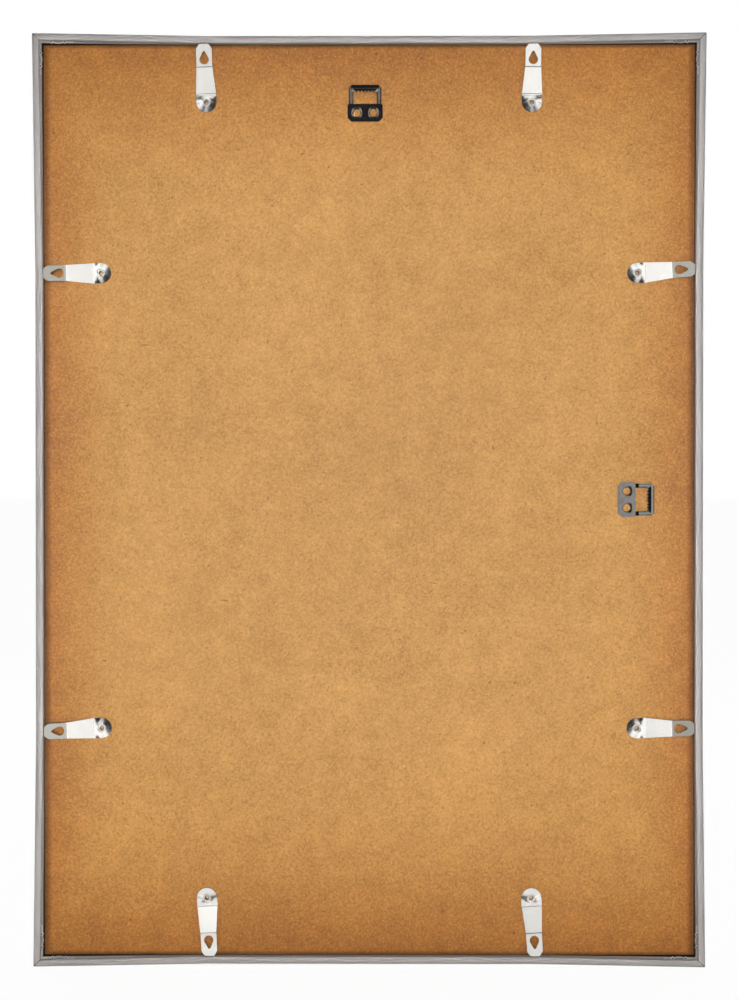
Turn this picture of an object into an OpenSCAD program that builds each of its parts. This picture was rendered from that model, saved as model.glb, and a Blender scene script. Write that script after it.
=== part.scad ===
// Plastic poster frame for a wall, with a fibreboard back held by turn clips.
// X runs to the right as the back is seen, Z runs up and the back faces -Y.
// The origin is the middle notch of the top hanger, where a nail carries the frame.

/* [Poster] */
// Width of the poster, the back board and the glazing
format_w = 500; // [400:1:700]
// Height of the poster, the back board and the glazing
format_h = 700; // [560:1:1000]
// Thickness of the fibreboard back
board_t = 3; // [2:0.1:5]
// Thickness of the paper sheet
insert_t = 0.2; // [0.1:0.05:0.6]
// Thickness of the clear plastic sheet
glazing_t = 1.2; // [0.8:0.1:2.5]

/* [Profile] */
// How far the profile reaches out past the edge of the poster
margin = 8; // [7:0.1:14]
// How far the front lip covers the edge of the poster
overlap = 5; // [3:0.5:10]
// Depth of the open space behind the back board
recess_d = 9; // [7:0.5:14]
// Width of the rear rim
rim_w = 5.6; // [4.5:0.1:7]
// Thickness of the rear rim
rim_t = 1.5; // [1.2:0.1:2.2]
// Thickness of the outer wall
wall = 1.6; // [1.2:0.1:2]
// Thickness of the walls of the hollow chamber
chamber_wall = 1.2; // [1:0.1:1.6]
// Thickness of the front lip
front_t = 1.6; // [1.2:0.1:3]
// How far the shelf over the chamber stands above the back board
shelf_rise = 1.8; // [1.4:0.1:2.5]
// Gap between the rebate wall and the edge of the sheets, at the corners
rebate_gap = 1.4; // [1.2:0.1:2.5]
// How far the clips draw the rear rim in between the corners
lean = 2.8; // [0:0.1:3]
// Rounding of the outer rear edge
rear_round = 1.8; // [0.5:0.1:2.5]
// Rounding of the rim's inner edge
rim_round = 0.5; // [0.2:0.05:0.6]
// Rounding of the outer front edge
front_round = 2.5; // [0.5:0.1:3.2]
// Rounding of the front lip's inner edge
lip_round = 1; // [0.3:0.1:1.1]

/* [Corner keys] */
// Length of a key's leg from the outer corner of the frame
key_leg = 31; // [28:0.5:45]
// Thickness of a key
key_t = 1.2; // [0.8:0.1:1.6]
// Gap between a key and the outer wall
key_gap = 0.1; // [0.05:0.05:0.4]
// Distance from the outer corner to the first burr
burr_first = 14.3; // [12:0.1:16]
// Distance between the two burrs of a leg
burr_pitch = 10.1; // [6:0.1:11]
// Distance from a key's inner edge to its burrs
burr_in = 0.7; // [0.7:0.1:2]
// Half the diagonal of a burr
burr_r = 1.4; // [0.8:0.1:1.8]
// Half the diagonal of the hole in a burr
burr_hole_r = 0.7; // [0.3:0.1:0.75]
// Height of a burr
burr_h = 0.9; // [0.4:0.1:1.5]

/* [Turn clips] */
// Distance from the edge of the board to a clip's rivet
clip_inset = 44; // [42:0.5:60]
// Distance between the two clips of the top or the bottom
clip_spread_x = 250; // [120:1:300]
// Distance between the two clips of the left or the right side
clip_spread_z = 350; // [200:1:420]
// Thickness of the spring steel
clip_t = 0.7; // [0.5:0.05:1]
// Radius of the round foot
clip_foot_r = 7.9; // [7:0.1:10]
// Distance from the rivet to the first bend
clip_bend = 6.7; // [4.5:0.1:8]
// Length of the sloping arm, seen from behind
clip_arm = 19.5; // [17:0.1:23]
// Width of the arm at its upper end
clip_arm_w = 12.4; // [12.2:0.1:14]
// Width of the tip
clip_tip_w = 12.2; // [10:0.1:12.2]
// Width of the very end of the tip
clip_end_w = 5; // [3:0.1:8]
// Length of the slanting cuts at the tip
clip_cut = 5; // [3:0.1:6]
// How far the tip reaches under the rim
clip_hold = 1.2; // [0.5:0.1:1.8]
// Gap between the tip and the underside of the rim
clip_under = 0.15; // [0.1:0.05:0.4]
// Gap between the foot and the board
clip_play = 0.05; // [0.02:0.01:0.1]
// Distance from the end of the tip to the middle of the teardrop eye
eye_back = 13.7; // [11.5:0.1:14.5]
// Radius of the round end of the eye
eye_r = 3.5; // [2.5:0.1:4]
// Radius of the pointed end of the eye
eye_point_r = 1.1; // [0.6:0.1:1.8]
// Distance between the two ends' centres
eye_len = 5.4; // [4:0.1:6]

/* [Rivets] */
// Outer radius of the barrel
rivet_r = 2.15; // [1.8:0.05:2.6]
// Radius of the hollow
rivet_hole_r = 1.75; // [1:0.05:1.75]
// Radius of the rolled rim
rivet_rim_r = 3.15; // [2.8:0.05:3.6]
// Radius of the flat head in the front of the board
rivet_head_r = 3.6; // [3:0.1:5]
// Thickness of the flat head
rivet_head_t = 0.5; // [0.3:0.1:0.8]
// Running gap between a clip and its rivet
rivet_fit = 0.05; // [0.02:0.01:0.1]
// Gap between a rivet and the board
rivet_seat = 0.02; // [0.01:0.01:0.05]

/* [Hangers] */
// Distance from the edge of the board to the end of a hanger's loop
hanger_inset = 31; // [20:0.5:60]
// Sideways place of the top hanger from the middle of the frame
hanger_top_x = -3; // [-10:0.5:10]
// Upward place of the side hanger from the middle of the frame
hanger_side_z = 1; // [-10:0.5:10]
// Thickness of the steel
hanger_t = 0.9; // [0.7:0.1:1.5]
// Width of the plate
plate_w = 27; // [26:0.1:32]
// Height of the plate
plate_h = 13.7; // [12:0.1:18]
// Slanting cut at the free corners of the plate
plate_cut = 3; // [1:0.1:4]
// Width of the loop
loop_w = 24.8; // [23:0.1:25.5]
// Length of the loop from the plate to its end
loop_l = 14.1; // [12:0.1:18]
// Slanting cut at the corners of the loop
loop_cut = 2.2; // [1:0.1:3]
// Width of the window in the loop
window_w = 18; // [14:0.1:19]
// Height of the window from the plate to the points of the teeth
window_h = 8.5; // [7:0.1:9]
// Number of notches along the window
notch_count = 7; // [3:2:9]
// Depth of a notch
notch_d = 1.5; // [0.8:0.1:1.8]
// How far the loop stands above the plate
loop_rise = 2; // [1:0.1:3]
// Length of the step up from the plate to the loop
loop_step = 2.2; // [1.8:0.1:3]
// Distance between the two hollow necks
neck_pitch = 12.8; // [11:0.1:14]
// Inner radius of a neck
neck_hole_r = 2.7; // [2:0.1:3]
// Wall of a neck
neck_wall = 0.7; // [0.5:0.1:0.9]
// How far a neck is pressed into the board
neck_d = 1.5; // [1:0.1:1.6]
// Radius of the flared mouth of a neck
neck_mouth_r = 3.6; // [3.4:0.1:4.2]
// Gap between a neck and the board
neck_seat = 0.02; // [0.01:0.01:0.05]

/* [Hidden] */
$fn = 64;
arc_steps = 5;
rim_steps = 3;
cut_past = 1;

// Depths are counted from the plane of the rear rim towards the front
sheet_v = recess_d + board_t + insert_t + glazing_t;
profile_d = sheet_v + front_t;
shelf_v = recess_d - shelf_rise;
shelf_u = margin - rebate_gap;
front_u = margin + overlap;
outer_w = format_w + 2 * margin;
outer_h = format_h + 2 * margin;

// The rim leans in from each corner to the nearest clip and then runs straight
ramp = min(outer_w - clip_spread_x, outer_h - clip_spread_z) / 2;
function lean_at(along, v) = lean * min(1, along / ramp) * (1 - v / profile_d);
key_out = wall + key_gap + lean_at(key_leg, shelf_v - key_t);
key_w = shelf_u - key_out;

// The tip of a clip ends under the rim
clip_reach = clip_inset + margin - rim_w - lean_at(ramp, rim_t) + clip_hold;
clip_rise = recess_d - rim_t - clip_under - clip_t - clip_play;
clip_top = clip_play + clip_t;

// A hanger's own origin is the middle between its two necks
plate_top = plate_h / 2;
loop_top = plate_top + loop_l;
notch_y = plate_top + window_h + notch_d;
hanger_out_z = format_h / 2 - hanger_inset - loop_top;
hanger_out_x = format_w / 2 - hanger_inset - loop_top;
hook = [hanger_top_x, recess_d - loop_rise - hanger_t / 2, hanger_out_z + notch_y];

clip_x = format_w / 2 - clip_inset;
clip_z = format_h / 2 - clip_inset;
half_x = clip_spread_x / 2;
half_z = clip_spread_z / 2;
// Each clip: its name, the place of its rivet and the way that its tip points, a little askew as set by hand
CLIPS = [
    ["top_left", -half_x, clip_z, 2],
    ["top_right", half_x, clip_z, -1],
    ["right_upper", clip_x, half_z, -86.5],
    ["right_lower", clip_x, -half_z, -89],
    ["bottom_right", half_x, -clip_z, 183.5],
    ["bottom_left", -half_x, -clip_z, 183.5],
    ["left_lower", -clip_x, -half_z, 93],
    ["left_upper", -clip_x, half_z, 91]
];
// Each side: its name, the turn from the top, half of its length and the place of its clips
SIDES = [
    ["top", 0, outer_w / 2, half_x, outer_h / 2],
    ["right", 90, outer_h / 2, half_z, outer_w / 2],
    ["bottom", 180, outer_w / 2, half_x, outer_h / 2],
    ["left", 270, outer_h / 2, half_z, outer_w / 2]
];
// Each corner: its name and its side of the middle
CORNERS = [
    ["top_left", -1, 1],
    ["top_right", 1, 1],
    ["bottom_left", -1, -1],
    ["bottom_right", 1, -1]
];
// Each hanger: its name, the place of its necks' middle and the way that its loop points
HANGERS = [
    ["top", hanger_top_x, hanger_out_z, 0],
    ["side", hanger_out_x, hanger_side_z, -90]
];

// Moves what is drawn around the middle of the rear rim's plane to the hanging point
module in_place() {
    translate(-hook) children();
}

// Stands a piece on the back of the board: its Y points the way it is turned and its Z points out of the back
module on_board(x, z, turn) {
    in_place()
        translate([x, recess_d, z])
        rotate([90, 0, 0])
        rotate(turn)
        children();
}

function arc(centre, r, from, to, steps) = [
    for (i = [0 : steps])
        let (a = from + (to - from) * i / steps)
        centre + r * [cos(a), sin(a)]
];

// Section of the profile: first the distance in from the outer face, then the depth from the rear plane
section = concat(
    arc([rear_round, rear_round], rear_round, 180, 270, arc_steps),
    arc([rim_w - rim_round, rim_round], rim_round, 270, 360, rim_steps),
    arc([rim_w - rim_round, rim_t - rim_round], rim_round, 0, 90, rim_steps),
    [[wall, rim_t], [wall, shelf_v], [shelf_u, shelf_v], [shelf_u, sheet_v], [front_u, sheet_v]],
    arc([front_u - lip_round, profile_d - lip_round], lip_round, 0, 90, rim_steps),
    arc([front_round, profile_d - front_round], front_round, 90, 180, arc_steps)
);
// The hollow chamber in front of the shelf
chamber = [
    [chamber_wall, shelf_v + chamber_wall],
    [shelf_u - chamber_wall, shelf_v + chamber_wall],
    [shelf_u - chamber_wall, profile_d - chamber_wall],
    [chamber_wall, profile_d - chamber_wall]
];
// Place in the section of the point where the shelf leaves the wall
shelf_foot = arc_steps + 2 * rim_steps + 4;

// Sweeps the section along X between two mitres, with the rim drawn in between the clips
module mitred_bar(half, clip_at) {
    loop = concat(section, chamber);
    outer = len(section);
    count = len(loop);
    mitre = [for (end = [-1, 1]) [for (p = loop) [end * (half - p[0]), p[1], -p[0]]]];
    drawn_in = [
        for (end = [-1, 1])
            [for (p = loop) [end * clip_at, p[1], -p[0] - lean * (1 - p[1] / profile_d)]]
    ];
    outside = [
        for (ring = [0 : 2], i = [0 : outer - 1])
            let (a = ring * count + i, b = ring * count + (i + 1) % outer)
            each [[a, b + count, b], [a, a + count, b + count]]
    ];
    inside = [
        for (ring = [0 : 2], i = [outer : count - 1])
            let (a = ring * count + i, b = ring * count + (i + 1 < count ? i + 1 : outer))
            each [[a, b, b + count], [a, b + count, a + count]]
    ];
    // Each end face is cut into fans that go round the chamber, each around its first point
    rim_end = shelf_foot - 1;
    front_end = outer - 1 - arc_steps;
    first = [
        concat([rim_end], [for (i = [0 : rim_end - 1]) i]),
        [0, rim_end, shelf_foot, outer, outer + 3, outer - 1],
        [shelf_foot, shelf_foot + 1, outer + 1, outer],
        [shelf_foot + 1, shelf_foot + 2, outer + 2, outer + 1],
        concat([outer + 2], [for (i = [shelf_foot + 2 : front_end]) i]),
        concat([outer + 3, outer + 2], [for (i = [front_end : outer - 1]) i])
    ];
    last = [
        for (face = first)
            [for (i = [0 : len(face) - 1]) face[i == 0 ? 0 : len(face) - i] + 3 * count]
    ];
    polyhedron(
        concat(mitre[0], drawn_in[0], drawn_in[1], mitre[1]),
        concat(outside, inside, first, last),
        convexity = 6
    );
}

module profile(side) {
    color([0.71, 0.68, 0.66])
        in_place()
        rotate([0, side[1], 0])
        translate([0, 0, side[4]])
        mitred_bar(side[2], side[3]);
}

// Draws its child at the two burrs of both legs of a key
module at_burrs() {
    across = shelf_u - burr_in;
    for (along = [burr_first, burr_first + burr_pitch]) {
        translate([along, across, 0]) children();
        translate([across, along, 0]) children();
    }
}

// A flat angle that lies on the shelf of the profile and bridges the mitre
module corner_key(corner) {
    color([0.80, 0.79, 0.77])
        in_place()
        translate([corner[1] * outer_w / 2, shelf_v, corner[2] * outer_h / 2])
        mirror([corner[1] > 0 ? 1 : 0, 0, 0])
        mirror([0, 0, corner[2] > 0 ? 1 : 0])
        rotate([90, 0, 0])
        difference() {
            union() {
                translate([key_out, key_out, 0]) cube([key_leg - key_out, key_w, key_t]);
                translate([key_out, key_out, 0]) cube([key_w, key_leg - key_out, key_t]);
                at_burrs() cylinder(h = key_t + burr_h, r = burr_r, $fn = 4);
            }
            at_burrs()
                translate([0, 0, -cut_past])
                cylinder(h = key_t + burr_h + 2 * cut_past, r = burr_hole_r, $fn = 4);
        }
}

// A sheet of the poster's size with its back at a given depth
module sheet(depth, thickness) {
    in_place()
        translate([-format_w / 2, depth, -format_h / 2])
        cube([format_w, thickness, format_h]);
}

module glazing_sheet() {
    color([0.85, 0.90, 0.92, 0.35])
        sheet(recess_d + board_t + insert_t, glazing_t);
}

module insert_sheet() {
    color([0.95, 0.94, 0.91])
        sheet(recess_d + board_t, insert_t);
}

module back_board() {
    head_d = rivet_head_t + clip_play;
    color([0.73, 0.50, 0.28])
        difference() {
            sheet(recess_d, board_t);
            for (clip = CLIPS) on_board(clip[1], clip[2], 0) {
                translate([0, 0, -board_t - cut_past])
                    cylinder(h = board_t + 2 * cut_past, r = rivet_r + rivet_seat);
                translate([0, 0, -board_t - cut_past])
                    cylinder(h = head_d + cut_past, r = rivet_head_r + rivet_seat);
            }
            for (hanger = HANGERS, end = [-0.5, 0.5])
                on_board(hanger[1], hanger[2], hanger[3])
                    translate([end * neck_pitch, 0, -neck_d - neck_seat])
                    neck_groove();
        }
}

// Room in the board for a hanger's neck, with the board's own core left standing inside it
module neck_groove() {
    difference() {
        cylinder(h = neck_d + neck_seat + cut_past, r = neck_hole_r + neck_wall + neck_seat);
        cylinder(h = neck_d + neck_seat + cut_past, r = neck_hole_r - neck_seat);
    }
}

// Side view of a sheet with one step up: length along X, height along Y
function stepped(from, bend, run, rise, to, t) =
    let (k = t * tan(atan2(rise, run) / 2))
    [
        [from, 0], [bend, 0], [bend + run, rise], [to, rise],
        [to, rise + t], [bend + run - k, rise + t], [bend - k, t], [from, t]
    ];

// Cuts an outline, given as the child, out of a stepped sheet that runs along Y
module stamping(from, bend, run, rise, to, t, width) {
    intersection() {
        linear_extrude(rise + 2 * t) children();
        rotate([90, 0, 90])
            translate([0, 0, -width / 2])
            linear_extrude(width)
            polygon(stepped(from, bend, run, rise, to, t));
    }
}

module teardrop_eye() {
    slope = asin((eye_r - eye_point_r) / eye_len);
    side = [cos(slope), sin(slope)];
    circle(eye_r);
    translate([0, eye_len]) circle(eye_point_r);
    polygon([
        eye_r * side,
        eye_point_r * side + [0, eye_len],
        [-eye_point_r * side[0], eye_point_r * side[1] + eye_len],
        [-eye_r * side[0], eye_r * side[1]]
    ]);
}

module clip_outline() {
    arm_end = clip_bend + clip_arm;
    right = [
        [clip_foot_r, 0], [clip_foot_r, clip_bend], [clip_arm_w / 2, arm_end], [clip_tip_w / 2, arm_end],
        [clip_tip_w / 2, clip_reach - clip_cut], [clip_end_w / 2, clip_reach]
    ];
    left = [for (i = [len(right) - 1 : -1 : 0]) [-right[i][0], right[i][1]]];
    difference() {
        union() {
            circle(clip_foot_r);
            polygon(concat(right, left));
        }
        translate([0, clip_reach - eye_back]) teardrop_eye();
        circle(rivet_r + rivet_fit);
    }
}

module turn_clip(clip) {
    color([0.88, 0.86, 0.83])
        on_board(clip[1], clip[2], clip[3])
        translate([0, 0, clip_play])
        stamping(
            -clip_foot_r - cut_past, clip_bend, clip_arm, clip_rise, clip_reach + cut_past,
            clip_t, 2 * clip_foot_r + cut_past
        )
        clip_outline();
}

// A hollow eyelet: a flat head in the front of the board, a barrel and a rim rolled over the clip
module clip_rivet(clip) {
    roll_r = (rivet_rim_r - rivet_hole_r) / 2;
    roll_z = clip_top + clip_play;
    color([0.84, 0.78, 0.71])
        on_board(clip[1], clip[2], 0)
        rotate_extrude() {
            translate([rivet_hole_r, -board_t + clip_play])
                square([rivet_head_r - rivet_hole_r, rivet_head_t]);
            translate([rivet_hole_r, -board_t + clip_play])
                square([rivet_r - rivet_hole_r, board_t - clip_play + roll_z]);
            translate([rivet_hole_r + roll_r, roll_z])
                intersection() {
                    circle(roll_r);
                    translate([-roll_r, 0]) square([2 * roll_r, roll_r]);
                }
        }
}

module hanger_outline() {
    shoulder = (plate_w - loop_w) / 2;
    right = [
        [plate_w / 2 - plate_cut, -plate_top], [plate_w / 2, -plate_top + plate_cut],
        [plate_w / 2, plate_top - shoulder], [loop_w / 2, plate_top],
        [loop_w / 2, loop_top - loop_cut], [loop_w / 2 - loop_cut, loop_top]
    ];
    left = [for (i = [len(right) - 1 : -1 : 0]) [-right[i][0], right[i][1]]];
    pitch = window_w / notch_count;
    teeth = [
        for (i = [0 : notch_count - 1])
            each [
                [window_w / 2 - i * pitch, notch_y - notch_d],
                [window_w / 2 - (i + 0.5) * pitch, notch_y]
            ]
    ];
    difference() {
        polygon(concat(right, left));
        polygon(concat(
            [[-window_w / 2, notch_y - notch_d], [-window_w / 2, plate_top], [window_w / 2, plate_top]],
            teeth
        ));
    }
}

// A flared mouth in the plate over a hollow neck
module neck_mouth() {
    translate([0, 0, -neck_d - cut_past])
        cylinder(h = neck_d + hanger_t + 2 * cut_past, r = neck_hole_r);
    cylinder(h = hanger_t, r1 = neck_hole_r, r2 = neck_mouth_r);
    translate([0, 0, hanger_t])
        cylinder(h = cut_past, r = neck_mouth_r);
}

module hanger(hanger) {
    color([0.16, 0.15, 0.15])
        on_board(hanger[1], hanger[2], hanger[3])
        difference() {
            union() {
                stamping(
                    -plate_top - cut_past, plate_top, loop_step, loop_rise, loop_top + cut_past,
                    hanger_t, plate_w + cut_past
                )
                hanger_outline();
                for (end = [-0.5, 0.5])
                    translate([end * neck_pitch, 0, -neck_d])
                    cylinder(h = neck_d, r = neck_hole_r + neck_wall);
            }
            for (end = [-0.5, 0.5])
                translate([end * neck_pitch, 0, 0]) neck_mouth();
        }
}

for (side = SIDES)
    profile(side);
for (corner = CORNERS)
    corner_key(corner);
glazing_sheet();
insert_sheet();
back_board();
for (clip = CLIPS)
    turn_clip(clip);
for (clip = CLIPS)
    clip_rivet(clip);
for (item = HANGERS)
    hanger(item);
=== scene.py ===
# %% [markdown]
# This lesson dresses a plastic poster frame, seen from behind as it would hang on a wall.
# The measured solids of the frame are loaded first and never moved. Each thin or curved piece is
# then modelled again with finer shapes in the same place, and every surface gets its own finish.
# The solids could also be painted as they are, but rolled edges, dished feet and crowned loops are
# what the eye looks for on such hardware, so those pieces are worth modelling.

# %% Load the measured frame
import math

import bmesh
import bpy
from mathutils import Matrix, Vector


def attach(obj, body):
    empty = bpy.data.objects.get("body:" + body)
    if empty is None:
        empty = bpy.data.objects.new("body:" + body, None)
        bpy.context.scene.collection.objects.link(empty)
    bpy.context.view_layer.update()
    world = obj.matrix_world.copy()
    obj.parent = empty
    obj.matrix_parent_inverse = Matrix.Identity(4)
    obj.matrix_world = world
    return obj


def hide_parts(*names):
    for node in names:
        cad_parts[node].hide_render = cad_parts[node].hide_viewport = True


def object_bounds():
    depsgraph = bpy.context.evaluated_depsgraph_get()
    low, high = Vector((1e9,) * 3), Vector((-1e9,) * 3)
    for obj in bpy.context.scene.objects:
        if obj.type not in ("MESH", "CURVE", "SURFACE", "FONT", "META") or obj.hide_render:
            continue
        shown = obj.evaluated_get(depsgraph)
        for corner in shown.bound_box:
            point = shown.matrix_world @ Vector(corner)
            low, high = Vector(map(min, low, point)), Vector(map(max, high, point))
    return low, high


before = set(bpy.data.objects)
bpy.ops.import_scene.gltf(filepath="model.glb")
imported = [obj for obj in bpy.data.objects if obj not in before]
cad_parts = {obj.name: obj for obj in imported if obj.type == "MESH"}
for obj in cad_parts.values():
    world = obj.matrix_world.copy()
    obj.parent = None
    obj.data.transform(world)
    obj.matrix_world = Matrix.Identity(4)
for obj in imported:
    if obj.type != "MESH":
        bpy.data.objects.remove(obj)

cad_box = [list(corner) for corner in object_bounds()]
print("solids loaded:", len(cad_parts), "box in metres:", cad_box)

# %% [markdown]
# The sizes of pieces are written in millimetres, as a maker would read them off a drawing, and are
# turned into metres in one place. Finishes, lamps and the camera are given in metres. Depths are
# counted from the plane of the rear rim, which touches the wall, towards the picture. Sideways and
# upward places are counted from the frame's middle.

# %% The frame's own measures
MM = 0.001
NEAR = 0.01  # a place that is met this closely counts as met
low, high = (Vector(corner) for corner in cad_box)
MIDDLE = Vector(((low.x + high.x) / 2, low.y, (low.z + high.z) / 2))
HALF_WIDE = (high.x - low.x) / 2 / MM
HALF_HIGH = (high.z - low.z) / 2 / MM
DEPTH = (high.y - low.y) / MM
BOARD_AT = 9
CLIP_INSET = 52
CLIP_X, CLIP_Z = 125, 175
print("outer size in mm:", round(2 * HALF_WIDE, 2), round(2 * HALF_HIGH, 2), round(DEPTH, 2))

# %% [markdown]
# Edit mode is a workbench that holds one piece at a time. The first helpers clear the bench, take a
# piece up and draw a ring of points as the start of a piece.

# %% Bench helpers: starting a piece
def clear_bench():
    if bpy.context.mode != "OBJECT":
        bpy.ops.object.mode_set(mode="OBJECT")
    bpy.ops.object.select_all(action="DESELECT")


def take_up(piece):
    """Makes one piece the only one that operators act on."""
    clear_bench()
    piece.select_set(True)
    bpy.context.view_layer.objects.active = piece


def edit(piece):
    take_up(piece)
    bpy.ops.object.mode_set(mode="EDIT")
    bpy.ops.mesh.select_all(action="SELECT")


def new_ring(name, points):
    """A circle whose points are moved onto an outline given in millimetres."""
    clear_bench()
    bpy.ops.mesh.primitive_circle_add(vertices=len(points), radius=MM, location=(0, 0, 0))
    piece = bpy.context.object
    piece.name = piece.data.name = name
    for vertex, point in zip(piece.data.vertices, points):
        vertex.co = Vector(point) * MM
    return piece


def add_ring(points):
    """Adds a ring to the piece on the bench and leaves it selected."""
    bpy.ops.mesh.primitive_circle_add(vertices=len(points), radius=MM, location=(0, 0, 0))
    mesh = bmesh.from_edit_mesh(bpy.context.object.data)
    mesh.verts.ensure_lookup_table()
    ring = [vertex for vertex in mesh.verts if vertex.select]
    for vertex, point in zip(ring, points):
        vertex.co = Vector(point) * MM
    bmesh.update_edit_mesh(bpy.context.object.data)


def twin(piece, name):
    """A copy with its own mesh."""
    copy = piece.copy()
    copy.data = piece.data.copy()
    copy.name = copy.data.name = name
    bpy.context.scene.collection.objects.link(copy)
    return copy


print("bench ready, mode:", bpy.context.mode)

# %% [markdown]
# The next helpers shape what is on the bench. Picking by place stands in for clicking, so the steps
# give the same result each run.

# %% Bench helpers: shaping a piece
DOUBLES_UNDER = 0.004


def pick(kind, test):
    """Selects what has all its points, in millimetres, inside a place that the test describes."""
    bpy.ops.mesh.select_all(action="DESELECT")
    bpy.ops.mesh.select_mode(type=kind)
    mesh = bmesh.from_edit_mesh(bpy.context.object.data)
    for item in {"VERT": mesh.verts, "EDGE": mesh.edges, "FACE": mesh.faces}[kind]:
        corners = [item] if kind == "VERT" else item.verts
        if all(test(corner.co / MM) for corner in corners):
            item.select_set(True)
    mesh.select_flush_mode()
    bmesh.update_edit_mesh(bpy.context.object.data)


def pull(x, y, z):
    """Extrudes what is selected by a step in millimetres."""
    step = (x * MM, y * MM, z * MM)
    bpy.ops.mesh.extrude_region_move(TRANSFORM_OT_translate={"value": step})


def cut(point, normal, clear=False):
    """Slices all of the piece along a plane and may throw away the side the normal points to."""
    bpy.ops.mesh.select_all(action="SELECT")
    bpy.ops.mesh.bisect(
        plane_co=Vector(point) * MM, plane_no=normal, use_fill=clear, clear_outer=clear
    )


def bridge(cuts):
    """Joins the two rings on the bench by a band of faces with some cuts round it."""
    bpy.ops.mesh.select_all(action="SELECT")
    bpy.ops.mesh.bridge_edge_loops(number_cuts=cuts, interpolation="LINEAR")


def shift(piece, move):
    """Moves each point of a piece by a step in millimetres that depends on where it is."""
    clear_bench()
    for vertex in piece.data.vertices:
        vertex.co += Vector(move(vertex.co / MM)) * MM


def face_outward(piece, up=None):
    """Turns the faces outward, or an open sheet's faces towards a side."""
    edit(piece)
    bpy.ops.mesh.remove_doubles(threshold=DOUBLES_UNDER * MM)
    bpy.ops.mesh.normals_make_consistent(inside=False)
    clear_bench()
    if up is not None and sum(face.normal.dot(up) * face.area for face in piece.data.polygons) < 0:
        edit(piece)
        bpy.ops.mesh.flip_normals()
        clear_bench()


def lathe(name, section, steps):
    """Takes out a section's line along the Z axis and spins the rest into a closed piece."""
    piece = new_ring(name, section)
    edit(piece)
    pick("EDGE", lambda p: abs(p.x) < NEAR)
    bpy.ops.mesh.delete(type="EDGE")
    bpy.ops.mesh.select_all(action="SELECT")
    bpy.ops.mesh.spin(steps=steps, angle=2 * math.pi, center=(0, 0, 0), axis=(0, 0, 1))
    face_outward(piece)
    return piece


print("points merge under", DOUBLES_UNDER, "mm")

# %% [markdown]
# The last helpers finish a piece and set it on the frame. On the bench a piece lies with its Z out of
# the back, so standing it up is one quarter turn. A finished piece keeps its place in its mesh. Its
# points carry a mark that the finish reads later: torn metal with a painted glint, whole plating, dull
# plating, and painted shade.

# %% Bench helpers: finishing a piece
SMOOTH_UNDER = math.radians(20)
OUT_OF_BACK = Vector((0, 0, 1))
# Marks: torn metal with a painted glint, whole, dull, and near black painted shade.
TORN_GLINT, WHOLE, DULL, PIT_SHADE = -1, 0, 1, 2


def finish_with(piece, kind, **settings):
    """Adds a modifier with its settings and applies it."""
    take_up(piece)
    bpy.ops.object.modifier_add(type=kind)
    modifier = piece.modifiers[-1]
    for name, value in settings.items():
        setattr(modifier, name, value)
    bpy.ops.object.modifier_apply(modifier=modifier.name)


def ease_edges(piece, width, sharper_than):
    """Takes the sharp edges off by a narrow bevel."""
    limit = math.radians(sharper_than)
    finish_with(
        piece, "BEVEL", width=width * MM, segments=1, limit_method="ANGLE", angle_limit=limit
    )


def join(piece, others):
    take_up(piece)
    for other in others:
        other.select_set(True)
    bpy.ops.object.join()


def settle():
    """Puts the place, turn and size of the piece that is taken up into its mesh."""
    bpy.ops.object.transform_apply(location=True, rotation=True, scale=True)


def stand(piece, x, depth, z, turn):
    """Sets a piece on the back with its Y pointing up, or as far round as it is turned."""
    take_up(piece)
    piece.rotation_mode = "ZYX"
    piece.rotation_euler = (math.radians(90), 0, math.radians(turn))
    piece.location = MIDDLE + Vector((x, depth, z)) * MM
    settle()
    bpy.ops.object.shade_smooth_by_angle(angle=SMOOTH_UNDER)
    return piece


def mark(piece, amount):
    """Notes at each point a mark for its finish to read: dulling, painted glint and painted shade."""
    dull_and_shade = piece.data.attributes.new("dull_and_shade", "FLOAT", "POINT")
    for vertex, value in zip(piece.data.vertices, dull_and_shade.data):
        value.value = amount(vertex.co / MM)


def hand_over(piece, body, node):
    """Says what the piece moves with and hides the solid that it stands for."""
    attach(piece, body)
    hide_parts(node)


# %% [markdown]
# The frame is four lengths of one hollow plastic extrusion, sawn to a mitre at both ends. A bar could
# be a sweep along a curve, but a drawn section that is filled, rounded at its corners and pulled out
# to length is closer to how the die makes it. The section is given as the way in from the outside, the
# depth from the rim and a radius. The rim's outer edge is broadly rounded and its inner edge rolled.

# %% Section of a bar
ROUND_WIDE, ROUND_DEEP = 4.0, 2.4
BEAD = []
for angle in range(0, 91, 9):
    across, deep = math.cos(math.radians(angle)), math.sin(math.radians(angle))
    BEAD.append((ROUND_WIDE * (1 - across), ROUND_DEEP * (1 - deep), 0))
LIP = [
    (4.9, 0.02, 0), (5.3, 0.12, 0), (5.52, 0.34, 0), (5.6, 0.7, 0), (5.6, 1.32, 0), (5.42, 1.5, 0),
]
SECTION = BEAD + LIP + [
    (1.6, 1.5, 0), (1.6, 7.2, 0), (6.6, 7.2, 0.25), (6.6, 13.4, 0), (13, 13.4, 0),
    (13, DEPTH, 1.0), (0, DEPTH, 2.5),
]
print("points in the section:", len(SECTION))

# %% [markdown]
# The sprung clips pull the rear rim in between the corners, so the rings at the two clips lean inward
# by a little, most at the rim and not at all at the front. The film on the outside doesn't cover the
# sawn mitre or the rebate inside, so those faces take a second, near black finish: on the mitre it is
# the dark joint, and in the rebate it is painted shade.

# %% Bars of the frame
LEAN = 2.8
CORNER_STEPS, CORNER_NEAR = 6, 0.05
MITRE_BEVEL, TIP_OFF = 0.22, 0.9
REBATE_U, REBATE_V, FRONT_LIP = 6.4, 7.4, 1.55
FILM, SHADE_AND_JOINT = 0, 1


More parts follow.
